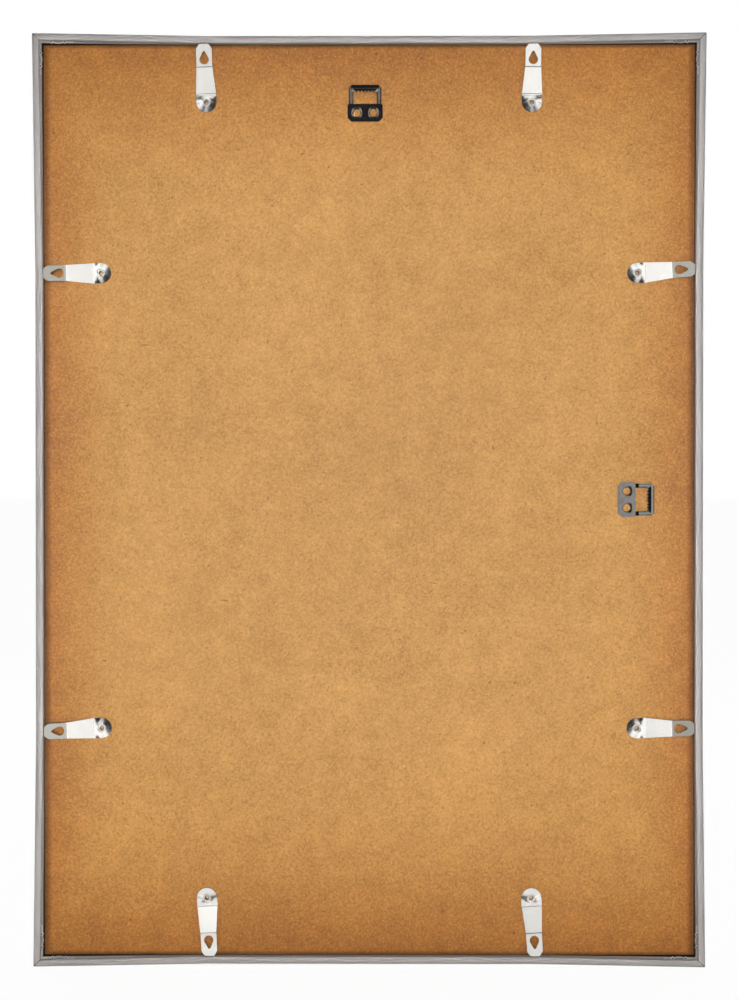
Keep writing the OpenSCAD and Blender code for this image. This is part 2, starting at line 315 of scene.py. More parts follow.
def make_bar(name, half, clip_at):
    bar = new_ring(name, [(0, v, -u) for u, v, _ in SECTION])
    edit(bar)
    bpy.ops.mesh.edge_face_add()
    for u, v, radius in SECTION:
        if radius:
            pick("VERT", lambda p: (p - Vector((0, v, -u))).length < CORNER_NEAR)
            bpy.ops.mesh.bevel(offset=radius * MM, segments=CORNER_STEPS, affect="VERTICES")
    bpy.ops.mesh.select_all(action="SELECT")
    bpy.ops.transform.translate(value=(-half * MM, 0, 0))
    pull(2 * half, 0, 0)
    for end in (-1, 1):
        cut((end * clip_at, 0, 0), (1, 0, 0))
        cut((end * half, 0, 0), (end, 0, -1), clear=True)
        cut((end * (half - TIP_OFF), 0, 0), (end, 0, 1), clear=True)
    pick("EDGE", lambda p: abs(abs(p.x) - half - p.z) < NEAR)
    bpy.ops.mesh.bevel(offset=MITRE_BEVEL * MM, segments=2, affect="EDGES")
    face_outward(bar)
    for face in bar.data.polygons:
        x, v, z = face.center / MM
        # Rebate faces get near black painted shade, mitre faces the dark joint.
        in_rebate = -z > REBATE_U and REBATE_V < v < DEPTH - FRONT_LIP
        on_mitre = abs(abs(x) - half - z) < 2 * MITRE_BEVEL
        face.material_index = SHADE_AND_JOINT if in_rebate or on_mitre else FILM

    def lean_at(p):
        at_clip = abs(abs(p.x) - clip_at) < NEAR
        return (0, 0, -LEAN * (1 - p.y / DEPTH) if at_clip else 0)

    shift(bar, lean_at)
    return bar


def place_bar(bar, out, turn):
    """Moves a bar out to its side of the frame, turned about the middle from the top."""
    take_up(bar)
    bpy.ops.transform.translate(value=(0, 0, out * MM))
    settle()
    bar.rotation_euler = (0, math.radians(turn), 0)
    bar.location = MIDDLE
    settle()
    bpy.ops.object.shade_smooth_by_angle(angle=SMOOTH_UNDER)


bars = {}
for first, second, half, clip_at, out, turn in (
    ("top", "bottom", HALF_WIDE, CLIP_X, HALF_HIGH, 0),
    ("right", "left", HALF_HIGH, CLIP_Z, HALF_WIDE, 90),
):
    bars[first] = make_bar("bar_" + first, half, clip_at)
    bars[second] = twin(bars[first], "bar_" + second)
    place_bar(bars[first], out, turn)
    place_bar(bars[second], out, turn + 180)
for side, bar in bars.items():
    hand_over(bar, "frame", "profile_" + side)
print("bars:", {side: len(bar.data.polygons) for side, bar in bars.items()})

# %% [markdown]
# In each corner a flat steel angle lies on the ledge inside the bars and bridges the mitre. It was
# staked in place: two square punch marks in each leg stand up as small collars. A collar is the same
# all round, so it is spun from the section of its wall, in four steps because the punch was square.
# The collar is painted bright, partly as its torn metal and partly as a painted glint, and the pit
# inside it is painted dark as painted shade.

# %% Burrs of the corner keys
BURR_WALL = [
    (0, 0.08), (0.62, 0.08), (0.68, 0.8), (0.78, 0.92), (1.4, 0.84), (1.62, 0.5), (1.7, -0.1),
    (0, -0.1),
]
BURR_SIDES, PIT_R = 4, 0.7


def make_burr():
    burr = lathe("burr", [(out, 0, up) for out, up in BURR_WALL], BURR_SIDES)
    # Painted glint on the collar, near black painted shade in the pit.
    mark(burr, lambda p: PIT_SHADE if math.hypot(p.x, p.y) < PIT_R and p.z > 0 else TORN_GLINT)
    return burr


print("a burr's wall has", len(BURR_WALL), "points")

# %% [markdown]
# The strip between the two punch marks was pushed out into a low arch. A plate that is sliced where the
# arch is, with a slot cut out and the strip bowed, shows this better than a plain angle would. One leg
# is made and mirrored across the mitre, for which it is turned by half a right angle and back.

# %% Corner keys
KEY_OUT, KEY_IN, KEY_LEG, KEY_T = 2.1, 6.6, 31, 1.2
BURRS, BURR_ACROSS = (14.3, 24.4), 5.95
ARCH_FROM, ARCH_TO, ARCH_STEPS, ARCH = 15.8, 22.9, 8, 0.75
SLOT_FROM, SLOT_TO = 5.0, 5.75
SHELF_AT = 7.2
CORNERS = {
    "bottom_left": (-1, -1, 0),
    "bottom_right": (1, -1, 90),
    "top_right": (1, 1, 180),
    "top_left": (-1, 1, 270),
}


def in_slot(p):
    along = ARCH_FROM - NEAR < p.x < ARCH_TO + NEAR
    return along and SLOT_FROM - NEAR < p.y < SLOT_TO + NEAR


def arch_at(p):
    inside = (p.x - ARCH_FROM) / (ARCH_TO - ARCH_FROM)
    bowed = p.y > SLOT_TO - NEAR and 0 < inside < 1
    return (0, ARCH * math.sin(math.pi * inside) if bowed else 0, 0)


def make_key():
    clear_bench()
    bpy.ops.mesh.primitive_plane_add(size=MM, location=(0, 0, 0))
    key = bpy.context.object
    key.name = key.data.name = "key"
    key.scale = (KEY_LEG - KEY_OUT, KEY_IN - KEY_OUT, 1)
    key.location = Vector((KEY_LEG + KEY_OUT, KEY_IN + KEY_OUT, 0)) * MM / 2
    settle()
    edit(key)
    for step in range(ARCH_STEPS + 1):
        cut((ARCH_FROM + (ARCH_TO - ARCH_FROM) * step / ARCH_STEPS, 0, 0), (1, 0, 0))
    for across in (SLOT_FROM, SLOT_TO):
        cut((0, across, 0), (0, 1, 0))
    pick("FACE", in_slot)
    bpy.ops.mesh.delete(type="FACE")
    cut((0, 0, 0), (-1, 1, 0), clear=True)
    shift(key, arch_at)
    for turn in (-45, 45):
        take_up(key)
        key.rotation_euler.z = math.radians(turn)
        settle()
        if turn < 0:
            finish_with(key, "MIRROR", use_axis=(False, True, False), merge_threshold=NEAR * MM)
    face_outward(key, up=OUT_OF_BACK)
    finish_with(key, "SOLIDIFY", thickness=KEY_T * MM, offset=1)
    burr = make_burr()
    places = [(along, BURR_ACROSS) for along in BURRS] + [(BURR_ACROSS, along) for along in BURRS]
    collars = [twin(burr, "collar") for _ in places]
    for collar, place in zip(collars, places):
        shift(collar, lambda p: (*place, KEY_T))
    bpy.data.objects.remove(burr)
    join(key, collars)
    ease_edges(key, width=0.08, sharper_than=40)
    return key


key = make_key()
keys = {}
for corner, (across, up, turn) in CORNERS.items():
    keys[corner] = twin(key, "key_" + corner)
    stand(keys[corner], across * HALF_WIDE, SHELF_AT, up * HALF_HIGH, turn)
    hand_over(keys[corner], "frame", "corner_key_" + corner)
bpy.data.objects.remove(key)
print("corner keys:", len(keys), "faces each:", len(keys["top_left"].data.polygons))

# %% [markdown]
# Eight sprung steel clips hold the back in. Each is stamped from thin sheet: a round foot that turns
# on a rivet, an arm that climbs to the height of the rim, and a tip with a teardrop eye that slides
# under it. A flat plate with holes cut by Boolean would shade badly around the holes, so the foot and
# the tip are each bridged from the hole's ring to the outline's ring. Both rings need the same number
# of points, so a hole's ring is found by looking from its middle towards each point of the outline.

# %% Outlines of a turn clip
FOOT_R, FOOT_HOLE_R, FOOT_STEPS, BEND = 7.9, 2.2, 24, 6.7
ARM, ARM_END_W, RISE = 19.5, 12.3, 6.6
TIP_END, TIP_END_W, TIP_CUT, TIP_NARROW = 45.08, 5, 5, 0.1
EYE_AT, EYE_R, EYE_POINT_R, EYE_LEN = 31.38, 3.5, 1.1, 5.4
BEND_STEPS, BEND_R, ARC_STEPS, STRAIGHT_FROM = 14, 2.8, 4, 0.4
ARM_END = BEND + ARM
SLOPE = math.atan2(RISE, ARM)
FOOT_EDGE = BEND - BEND_R * math.tan(SLOPE / 2)
TIP_EDGE = ARM_END + BEND_R * math.tan(SLOPE / 2)


def run(*stops):
    """Points along a broken line: each stop gives its point and the steps to the next one."""
    points = []
    for (x, y, steps), (x2, y2, _) in zip(stops, stops[1:]):
        points += [(x + (x2 - x) * i / steps, y + (y2 - y) * i / steps, 0) for i in range(steps)]
    return points


def foot_outline():
    arc = [math.radians(180 + 180 * i / FOOT_STEPS) for i in range(FOOT_STEPS)]
    return (
        run((FOOT_R, FOOT_EDGE, BEND_STEPS), (-FOOT_R, FOOT_EDGE, 4), (-FOOT_R, 0, 0))
        + [(FOOT_R * math.cos(a), FOOT_R * math.sin(a), 0) for a in arc]
        + run((FOOT_R, 0, 4), (FOOT_R, FOOT_EDGE, 0))
    )


def tip_outline():
    half, end = ARM_END_W / 2, TIP_END_W / 2
    shoulder = TIP_END - TIP_CUT
    return run(
        (-half, TIP_EDGE, BEND_STEPS), (half, TIP_EDGE, 9), (half - TIP_NARROW, shoulder, 5),
        (end, TIP_END, 4), (-end, TIP_END, 5), (TIP_NARROW - half, shoulder, 9),
        (-half, TIP_EDGE, 0),
    )


def round_hole(outline, centre, reach):
    """A hole's ring with one point in front of each point of the outline."""
    ring = []
    for x, y, _ in outline:
        angle = math.atan2(y - centre[1], x - centre[0])
        far = reach(angle)
        ring.append((centre[0] + far * math.cos(angle), centre[1] + far * math.sin(angle), 0))
    return ring


def eye_reach(angle):
    """How far the teardrop reaches from the middle of its round end."""
    across, along = abs(math.cos(angle)), math.sin(angle)
    slope = math.asin((EYE_R - EYE_POINT_R) / EYE_LEN)
    point = (EYE_POINT_R * math.cos(slope), EYE_POINT_R * math.sin(slope) + EYE_LEN)
    if along * math.cos(slope) <= across * math.sin(slope):
        return EYE_R
    if along * point[0] <= across * point[1]:
        return EYE_R / (across * math.cos(slope) + along * math.sin(slope))
    return EYE_LEN * along + math.sqrt(EYE_POINT_R**2 - (EYE_LEN * across) ** 2)


print("points round a foot:", len(foot_outline()), "and round a tip:", len(tip_outline()))

# %% [markdown]
# The arm is pulled out of the foot's straight edge in short steps, round at both bends and narrower
# towards the tip. The rivet has drawn the middle of the foot down, so its free edge curls up like a
# shallow dish.

# %% One turn clip
CLIP_T, CLIP_PLAY = 0.7, 0.05
DISH, DISH_POWER = 1.1, 1.15


def dish_at(p):
    """How far the rivet lets the free edge of the foot curl up."""
    if p.y > FOOT_EDGE - NEAR:
        return (0, 0, 0)
    out = max(0.0, (math.hypot(p.x, p.y) - FOOT_HOLE_R) / (FOOT_R - FOOT_HOLE_R))
    flat = min(1.0, max(0.0, p.y / FOOT_EDGE))
    return (0, 0, DISH * out**DISH_POWER * (1 - flat * flat * (3 - 2 * flat)))


def arm_path():
    """Stations of the arm from the foot's edge to the tip's, along and up."""
    bends = [
        (BEND_R * math.sin(SLOPE * i / ARC_STEPS), BEND_R * (1 - math.cos(SLOPE * i / ARC_STEPS)))
        for i in range(ARC_STEPS + 1)
    ]
    first = [(FOOT_EDGE + along, up) for along, up in bends]
    last = [(TIP_EDGE - along, RISE - up) for along, up in reversed(bends)]
    along, up = STRAIGHT_FROM * math.cos(SLOPE), STRAIGHT_FROM * math.sin(SLOPE)
    straight = [(first[-1][0] + along, first[-1][1] + up), (last[0][0] - along, last[0][1] - up)]
    return first + straight + last


def arm_half(y):
    return FOOT_R + (ARM_END_W / 2 - FOOT_R) * (y - FOOT_EDGE) / (TIP_EDGE - FOOT_EDGE)


def make_clip():
    clip = new_ring("clip", foot_outline())
    edit(clip)
    add_ring(round_hole(foot_outline(), (0, 0), lambda angle: FOOT_HOLE_R))
    bridge(cuts=5)
    pick("EDGE", lambda p: abs(p.y - FOOT_EDGE) < NEAR)
    path = arm_path()
    for (y, z), (next_y, next_z) in zip(path, path[1:]):
        pull(0, next_y - y, next_z - z)
        narrow = (arm_half(next_y) / arm_half(y), 1, 1)
        bpy.ops.transform.resize(value=narrow, center_override=(0, next_y * MM, next_z * MM))
    tip = new_ring("tip", tip_outline())
    edit(tip)
    add_ring(round_hole(tip_outline(), (0, EYE_AT), eye_reach))
    bridge(cuts=2)
    bpy.ops.transform.translate(value=(0, 0, RISE * MM))
    join(clip, [tip])
    shift(clip, dish_at)
    face_outward(clip, up=OUT_OF_BACK)
    finish_with(clip, "SOLIDIFY", thickness=CLIP_T * MM, offset=1)
    ease_edges(clip, width=0.1, sharper_than=50)
    shift(clip, lambda p: (0, 0, CLIP_PLAY))
    return clip


clip = make_clip()
print("faces of a clip:", len(clip.data.polygons))

# %% [markdown]
# All eight clips are copies of the one. Each was turned by hand, so none is quite square to its bar.
# The tips carry painted shade, a darker dulled colour, most on the side clips and hardly at all at
# the top and bottom.

# %% Turn clips on the frame
CLIP_PLACES = {
    "top_left": (-CLIP_X, HALF_HIGH - CLIP_INSET, 2, 0.15),
    "top_right": (CLIP_X, HALF_HIGH - CLIP_INSET, -1, 0),
    "right_upper": (HALF_WIDE - CLIP_INSET, CLIP_Z, -86.5, 0.85),
    "right_lower": (HALF_WIDE - CLIP_INSET, -CLIP_Z, -89, 1),
    "bottom_right": (CLIP_X, CLIP_INSET - HALF_HIGH, 183.5, 0.2),
    "bottom_left": (-CLIP_X, CLIP_INSET - HALF_HIGH, 183.5, 0),
    "left_lower": (CLIP_INSET - HALF_WIDE, -CLIP_Z, 93, 0.75),
    "left_upper": (CLIP_INSET - HALF_WIDE, CLIP_Z, 91, 0.9),
}
TIP_SHADE_FROM = ARM_END - 0.3
clips = {}
for spot, (x, z, turn, tip_shade) in CLIP_PLACES.items():
    clips[spot] = twin(clip, "clip_" + spot)
    # Painted shade: the tips are dulled darker, most on the side clips.
    mark(clips[spot], lambda p: tip_shade * min(1.0, max(0.0, p.y - TIP_SHADE_FROM)))
    stand(clips[spot], x, BOARD_AT, z, turn)
    hand_over(clips[spot], "clip_" + spot, "turn_clip_" + spot)
bpy.data.objects.remove(clip)
print("clips:", len(clips))

# %% [markdown]
# A tubular rivet through the board carries each clip. Its end was rolled over the clip by a punch, and
# the thin tube split into petals as it spread. The rivet's wall is drawn as a section and spun about
# its axis, as a lathe would turn it. The splits are then pressed into the rolled edge by moving points.

# %% One rivet
RIVET_STEPS, ROLL_STEPS = 84, 10
ROLL_R, ROLL_Z, BARREL_R, HOLE_R, HEAD_R = 0.7, 0.8, 2.15, 1.75, 3.6
HEAD_FRONT, HEAD_BACK = -2.95, -2.45
HOLLOW = [(HOLE_R - 0.05, 0, 0.3), (HOLE_R - 0.1, 0, -1.6), (0, 0, -1.75)]
PETALS, PETAL_FROM, UNEVEN = 7, 0.35, 0.12
SPLIT_SHARP, SPLIT_IN, SPLIT_DOWN = 7, 0.62, 0.3
HOLLOW_DARK, HOLLOW_FADE = 1.7, 2.5
HOLLOW_EDGE, AXIS_NEAR = HOLE_R + 0.1, 0.1


def rivet_section():
    centre = HOLE_R + ROLL_R
    roll = [math.radians(180 * i / ROLL_STEPS) for i in range(ROLL_STEPS + 1)]
    return (
        [(0, 0, HEAD_FRONT), (HEAD_R, 0, HEAD_FRONT), (HEAD_R, 0, HEAD_BACK)]
        + [(BARREL_R, 0, HEAD_BACK), (BARREL_R, 0, ROLL_Z)]
        + [(centre + ROLL_R * math.cos(a), 0, ROLL_Z + ROLL_R * math.sin(a)) for a in roll]
        + HOLLOW
    )


def split_at(p):
    """Presses the splits between the petals into the rolled edge."""
    out = math.hypot(p.x, p.y)
    if p.z < ROLL_Z - NEAR or out < HOLE_R + PETAL_FROM:
        return (0, 0, 0)
    angle = math.atan2(p.y, p.x)
    angle += UNEVEN * math.sin(3 * angle)
    split = max(0.0, math.cos(angle * PETALS / 2) ** 2) ** SPLIT_SHARP
    split *= (out - HOLE_R - PETAL_FROM) / (2 * ROLL_R - PETAL_FROM)
    inward = SPLIT_IN * split / out
    return (-p.x * inward, -p.y * inward, -SPLIT_DOWN * split * (p.z - ROLL_Z) / ROLL_R)


def hollow_at(p):
    """Dull at the bottom of the hollow, painted shade on its wall and whole on the rolled edge."""
    out = math.hypot(p.x, p.y)
    if out > HOLLOW_EDGE:
        return WHOLE
    return DULL if out < AXIS_NEAR else min(HOLLOW_DARK, max(0.0, HOLLOW_FADE * (1 - p.z)))


rivet = lathe("rivet", rivet_section(), RIVET_STEPS)
shift(rivet, split_at)
# The wall of the hollow carries near black painted shade.
mark(rivet, hollow_at)
print("faces of a rivet:", len(rivet.data.polygons))

# %% [markdown]
# The rivets split where they liked, so each copy is turned a little further than the one before it.

# %% Rivets on the frame
RIVET_TURN = 19
rivets = {}
for number, (spot, (x, z, turn, _)) in enumerate(CLIP_PLACES.items()):
    rivets[spot] = twin(rivet, "rivet_" + spot)
    stand(rivets[spot], x, BOARD_AT, z, turn + RIVET_TURN * number)
    hand_over(rivets[spot], "frame", "clip_rivet_" + spot)
bpy.data.objects.remove(rivet)
print("rivets:", len(rivets))

# %% [markdown]
# Two blackened steel hangers, one for each way of hanging, are pressed into the board by two hollow
# necks. Each is one stamping: a plate, and a raised loop with saw teeth that a nail slots into. The
# legs and the crossbar are crowned, so that they stay stiff. Half of the stamping is built and mirrored:
# the plate is bridged around its neck, the neck is pushed down, and the leg and the crossbar are pulled
# out of the plate's edge step by step.

# %% One hanger
PLATE_W, PLATE_H, PLATE_CUT = 27, 13.7, 3
LOOP_W, LOOP_TOP, LOOP_CUT, WINDOW_W = 24.8, 20.95, 2.2, 18
ROOT_Y, TOOTH_D, LOOP_RISE, LOOP_STEP = 16.85, 1.5, 2.0, 2.2
TOOTH_STEPS, ROOT_SHORT, HALVES_MEET = 7, 0.2, 0.02
NECK_X, MOUTH_R, HANGER_T = 6.4, 3.6, 0.9
NECK_RINGS = [(3.25, 0.82), (2.95, 0.6), (2.76, 0.2), (2.7, -0.3), (2.7, -1.5)]
CROWN, CROWN_FROM, CROWN_POWER = 0.22, 0.3, 0.8
PLATE_TOP = PLATE_H / 2
LEG_IN, LEG_OUT = WINDOW_W / 2, LOOP_W / 2
TEETH_TO = LEG_IN - 0.1
BAR_STEPS = [ROOT_Y + up for up in (0, 0.5, 1.2, 2.05, 2.9, 3.6)]
LEG_STATIONS = [PLATE_TOP + LOOP_STEP, ROOT_Y - TOOTH_D, *BAR_STEPS, LOOP_TOP]


def half_plate():
    wide = PLATE_W / 2
    shoulder = wide - LEG_OUT
    return run(
        (0, -PLATE_TOP, 8), (wide - PLATE_CUT, -PLATE_TOP, 3), (wide, PLATE_CUT - PLATE_TOP, 8),
        (wide, PLATE_TOP - shoulder, 2), (LEG_OUT, PLATE_TOP, 6), (LEG_IN, PLATE_TOP, 8),
        (0, PLATE_TOP, 10), (0, -PLATE_TOP, 0),
    )


def on_leg_root(p):
    return abs(p.y - PLATE_TOP) < NEAR and LEG_IN - NEAR < p.x < LEG_OUT + NEAR


def tooth_at(p):
    """Pushes every second point of the crossbar's lower edge up into a notch."""
    low_edge = abs(p.y - ROOT_Y + TOOTH_D) < NEAR and p.x < TEETH_TO
    notch = low_edge and round(p.x / (LEG_IN / TOOTH_STEPS)) % 2 == 0
    return (0, TOOTH_D - ROOT_SHORT if notch else 0, 0)


def crown_at(p):
    """Raises the middle of the legs and of the crossbar."""
    if p.y < PLATE_TOP + CROWN_FROM or p.y < ROOT_Y - NEAR and p.x < LEG_IN - NEAR:
        return (0, 0, 0)
    across = max((p.x - LEG_IN) / (LEG_OUT - LEG_IN), (p.y - ROOT_Y) / (LOOP_TOP - ROOT_Y))
    ramp = min(1.0, (p.y - PLATE_TOP) / LOOP_STEP)
    return (0, 0, CROWN * ramp * math.sin(math.pi * min(1.0, max(0.0, across))) ** CROWN_POWER)


def press_neck():
    radius, height = MOUTH_R, HANGER_T
    pick("EDGE", lambda p: abs(math.hypot(p.x - NECK_X, p.y) - MOUTH_R) < NEAR)
    for next_radius, next_height in NECK_RINGS:
        pull(0, 0, next_height - height)
        narrow = next_radius / radius
        centre = (NECK_X * MM, 0, next_height * MM)
        bpy.ops.transform.resize(value=(narrow, narrow, 1), center_override=centre)
        radius, height = next_radius, next_height


def make_hanger():
    hanger = new_ring("hanger", half_plate())
    edit(hanger)
    add_ring(round_hole(half_plate(), (NECK_X, 0), lambda angle: MOUTH_R))
    bridge(cuts=3)
    bpy.ops.mesh.select_all(action="SELECT")
    bpy.ops.transform.translate(value=(0, 0, HANGER_T * MM))
    press_neck()
    pick("EDGE", on_leg_root)
    pull(0, LOOP_STEP, LOOP_RISE)
    for y_from, y_to in zip(LEG_STATIONS, LEG_STATIONS[1:]):
        pull(0, y_to - y_from, 0)
    pick("EDGE", lambda p: abs(p.x - LEG_IN) < NEAR and p.y > ROOT_Y - NEAR)
    for _ in range(TOOTH_STEPS):
        pull(-LEG_IN / TOOTH_STEPS, 0, 0)
    pick("EDGE", lambda p: abs(p.y - ROOT_Y) < NEAR and p.x < LEG_IN + NEAR)
    pull(0, -TOOTH_D, 0)
    cut((LEG_OUT - LOOP_CUT, LOOP_TOP, 0), (1, 1, 0), clear=True)
    shift(hanger, tooth_at)
    shift(hanger, crown_at)
    finish_with(hanger, "MIRROR", use_axis=(True, False, False), merge_threshold=HALVES_MEET * MM)
    face_outward(hanger, up=OUT_OF_BACK)
    finish_with(hanger, "SOLIDIFY", thickness=HANGER_T * MM, offset=-1)
    ease_edges(hanger, width=0.1, sharper_than=50)
    return hanger


hanger = make_hanger()
print("faces of a hanger:", len(hanger.data.polygons))

# %% [markdown]
# One hanger sits near the middle of the top, for the frame upright. The other sits at the right, turned
# by a quarter, for the frame on its side. Neither is quite in the middle.

# %% Hangers on the board
HANGER_PLACES = {"top": (-3, 298.05, 0), "side": (198.05, 1, -90)}
hangers = {}
for spot, (x, z, turn) in HANGER_PLACES.items():
    hangers[spot] = stand(twin(hanger, "hanger_loop_" + spot), x, BOARD_AT, z, turn)
    hand_over(hangers[spot], "frame", "hanger_" + spot)
bpy.data.objects.remove(hanger)
print("hangers:", len(hangers))

# %% [markdown]
# Finishes are small networks of nodes. Wiring each by hand hides what is going on, so one small class
# wraps a node's socket: adding or multiplying two of them adds the Math node that does so, and any other
# node comes from one method that takes the node's type, its settings and its sockets.

# %% Shader wires
class Wire:
    """A socket of a node tree that can be used in sums like a number."""

    def __init__(self, tree, socket):
        self.tree = tree
        self.socket = socket

    def node(self, kind, settings, sockets, out=0):
        made = self.tree.nodes.new(kind)
        for name, value in settings.items():
            setattr(made, name, value)
        for name, value in sockets.items():
            if isinstance(value, Wire):
                self.tree.links.new(value.socket, made.inputs[name])
            else:
                made.inputs[name].default_value = value
        return Wire(self.tree, made.outputs[out])

    def sum(self, operation, first, second):
        return self.node("ShaderNodeMath", {"operation": operation}, {0: first, 1: second})

    def __add__(self, other):
        return self.sum("ADD", self, other)

    def __radd__(self, other):
        return self.sum("ADD", other, self)

    def __sub__(self, other):
        return self.sum("SUBTRACT", self, other)

    def __rsub__(self, other):
        return self.sum("SUBTRACT", other, self)

    def __mul__(self, other):
        return self.sum("MULTIPLY", self, other)

    def __rmul__(self, other):
        return self.sum("MULTIPLY", other, self)

    def between(self, start, end):
        """A soft step from 0 to 1 as the value goes from start to end."""
        return self.node(
            "ShaderNodeMapRange", {"interpolation_type": "SMOOTHSTEP"},
            {"Value": self, "From Min": start, "From Max": end, "To Min": 0.0, "To Max": 1.0},
        )

    def noise(self, scale, detail=2.0, roughness=0.5):
        sockets = {"Vector": self, "Scale": scale, "Detail": detail, "Roughness": roughness}
        return self.node("ShaderNodeTexNoise", {}, sockets)

    def turned(self, turn=(0, 0, 0), stretch=(1, 1, 1)):
        """The same place for a pattern that is stretched along its own axes and then turned."""
        angles = tuple(math.radians(angle) for angle in turn)
        sockets = {"Vector": self, "Rotation": angles, "Scale": stretch}
        return self.node("ShaderNodeMapping", {"vector_type": "TEXTURE"}, sockets)

    def way(self, axis):
        return self.node("ShaderNodeSeparateXYZ", {}, {"Vector": self}, out=axis)

    def blend(self, first, second):
        """The first colour where this is 0 and the second where it is 1."""
        sockets = {0: self, 6: first, 7: second}
        return self.node("ShaderNodeMix", {"data_type": "RGBA"}, sockets, out=2)

    def bump(self, strength, distance):
        sockets = {"Height": self, "Strength": strength, "Distance": distance}
        return self.node("ShaderNodeBump", {}, sockets)


print("shader wires ready")

# %% [markdown]
# Every finish starts from the main shader and the place on the piece that patterns are read from. What
# is the same all over is set on the shader, and what varies is linked to it.

# %% Finish helpers
def new_finish(name):
    """A material, its main shader and the place on the piece that patterns are read from."""
    material = bpy.data.materials.new(name)
    material.use_nodes = True
    tree = material.node_tree
    shader = tree.nodes["Principled BSDF"]
    return material, shader, Wire(tree, tree.nodes.new("ShaderNodeTexCoord").outputs["Object"])


def feed(shader, **values):
    """Sets the shader's sockets, or links them where a value varies over the surface."""
    for name, value in values.items():
        socket = shader.inputs[name.replace("_", " ")]
        if isinstance(value, Wire):
            value.tree.links.new(value.socket, socket)
        else:
            socket.default_value = value


def paint(pieces, *materials):
    for piece in pieces:
        while len(piece.material_slots) < len(materials):
            piece.data.materials.append(None)
        for slot, material in zip(piece.material_slots, materials):
            slot.material = material


print("materials so far:", len(bpy.data.materials))

# %% [markdown]
# The back is a thin pressed fibreboard. Close up it is felted wood: fine pale fibres that lie every
# way, darker flecks of bark, and soft clouds where the pulp was thicker. Noise that is stretched and
# turned to three directions gives the fibres, and slow noise gives the clouds. The surface is smooth
# from the press plate, so it keeps a faint sheen. Its margins are painted darker as painted shade,
# further in at the top and bottom than at the sides, and a painted shadow of the rim darkens its very
# edge.

# %% Fibreboard finish
BOARD_HALF_WIDE, BOARD_HALF_HIGH = 0.25, 0.35


def edge_distance(place, top_bottom_weight):
    """Metres to the board's nearest edge, where those to its top and bottom count top_bottom_weight
    times.
    """
    off_x = place.sum("ABSOLUTE", place.way("X") - MIDDLE.x, 0.0)
    off_z = place.sum("ABSOLUTE", place.way("Z") - MIDDLE.z, 0.0)
    return place.sum("MINIMUM", BOARD_HALF_WIDE - off_x, (BOARD_HALF_HIGH - off_z) * top_bottom_weight)


def fibreboard_finish():
    material, shader, place = new_finish("fibreboard")
    cloud = place.noise(9.0, 3.0) - 0.5
    patch = place.noise(60.0, 3.0, 0.6) - 0.5
    grain = place.noise(520.0, 4.0, 0.75) - 0.5
    layers = [
        place.turned((0, angle, 0), (1, 1, 4)).noise(1500.0, 2.0, 0.6) for angle in (20, 75, 140)
    ]
    fibre = place.sum("MAXIMUM", place.sum("MAXIMUM", layers[0], layers[1]), layers[2])
    pale = fibre.between(0.6, 0.76)
    fleck = place.turned((0, 50, 0), (1, 1, 2)).noise(1000.0, 2.0, 0.6).between(0.58, 0.72)
    speck = place.noise(300.0, 0.0).between(0.83, 0.86)
    level = 0.5 + cloud * 0.6 + patch * 0.75 + grain * 2.2
    # Painted shade: the margins are darker, further in at the top and bottom than at the sides.
    margin_shade = level.blend((0.305, 0.103, 0.026, 1), (0.615, 0.247, 0.046, 1))
    middle = level.blend((0.385, 0.182, 0.038, 1), (0.685, 0.352, 0.098, 1))
    colour = edge_distance(place, 0.5).between(-0.01, 0.06).blend(margin_shade, middle)
    colour = (pale * 0.55).blend(colour, (0.8, 0.46, 0.145, 1))
    colour = (fleck * 0.65).blend(colour, (0.255, 0.105, 0.035, 1))
    colour = (speck * 0.6).blend(colour, (0.12, 0.045, 0.015, 1))
    # Painted shadow of the rim: the board's very edge is darkened.
    rim_shadow = 1 - edge_distance(place, 2.0).between(0.001, 0.0065)
    colour = (rim_shadow * 0.6).blend(colour, (0.10, 0.028, 0.004, 1))
    feed(
        shader, Base_Color=colour, Specular_IOR_Level=0.12,
        Roughness=0.38 + grain * 0.2 - pale * 0.05,
        Normal=(grain * 0.6 + pale * 0.5 - fleck * 0.4).bump(0.18, 0.0001),
    )
    return material


paint([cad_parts["back_board"]], fibreboard_finish())
print("painted the back board")

# %% [markdown]
# The bars are grey plastic under a thin silver film, which is satin and hardly mirrors, so it is closer
# to a pale paint than to metal. It was drawn on lengthwise and shows very fine lines, and handling left
# faint scuffs. Away from the crest of the rim, its rounded edges and the outer wall are painted darker
# as painted shade. The lines need to know which way a bar runs, so the level and the upright bars each
# get their own version of the same recipe.

# %% Silver film finish
def silver_finish(name, stretch):
    material, shader, place = new_finish(name)
    line = place.turned(stretch=stretch).noise(2600.0, 3.0, 0.6) - 0.5
    sparkle = place.noise(5200.0, 1.0) - 0.5
    cloud = place.noise(22.0, 3.0) - 0.5
    scuff = place.turned((30, 20, 10), (1, 1, 7)).noise(900.0, 3.0, 0.7).between(0.66, 0.78)
    depth = place.way("Y") - MIDDLE.y
    # Painted shade: darker with depth from the rim's crest, over its rounded edges and the outer wall.
    edge_shade = depth.between(0.0001, 0.0022) * (1 - depth.between(0.003, 0.008))
    tone = 0.5 + line * 0.06 + sparkle * 0.15 + cloud * 0.3
    colour = tone.blend((0.43, 0.407, 0.393, 1), (0.565, 0.537, 0.518, 1))
    colour = (scuff * 0.08).blend(colour, (0.6, 0.58, 0.56, 1))
    colour = (edge_shade * 0.65).blend(colour, (0.2, 0.19, 0.183, 1))
    feed(
        shader, Base_Color=colour, Metallic=0.08, Specular_IOR_Level=0.3,
        Roughness=0.48 + line * 0.03 + cloud * 0.08 + scuff * 0.06,
        Normal=(line * 0.04 + sparkle * 0.15).bump(0.05, 0.00005),
    )
    return material


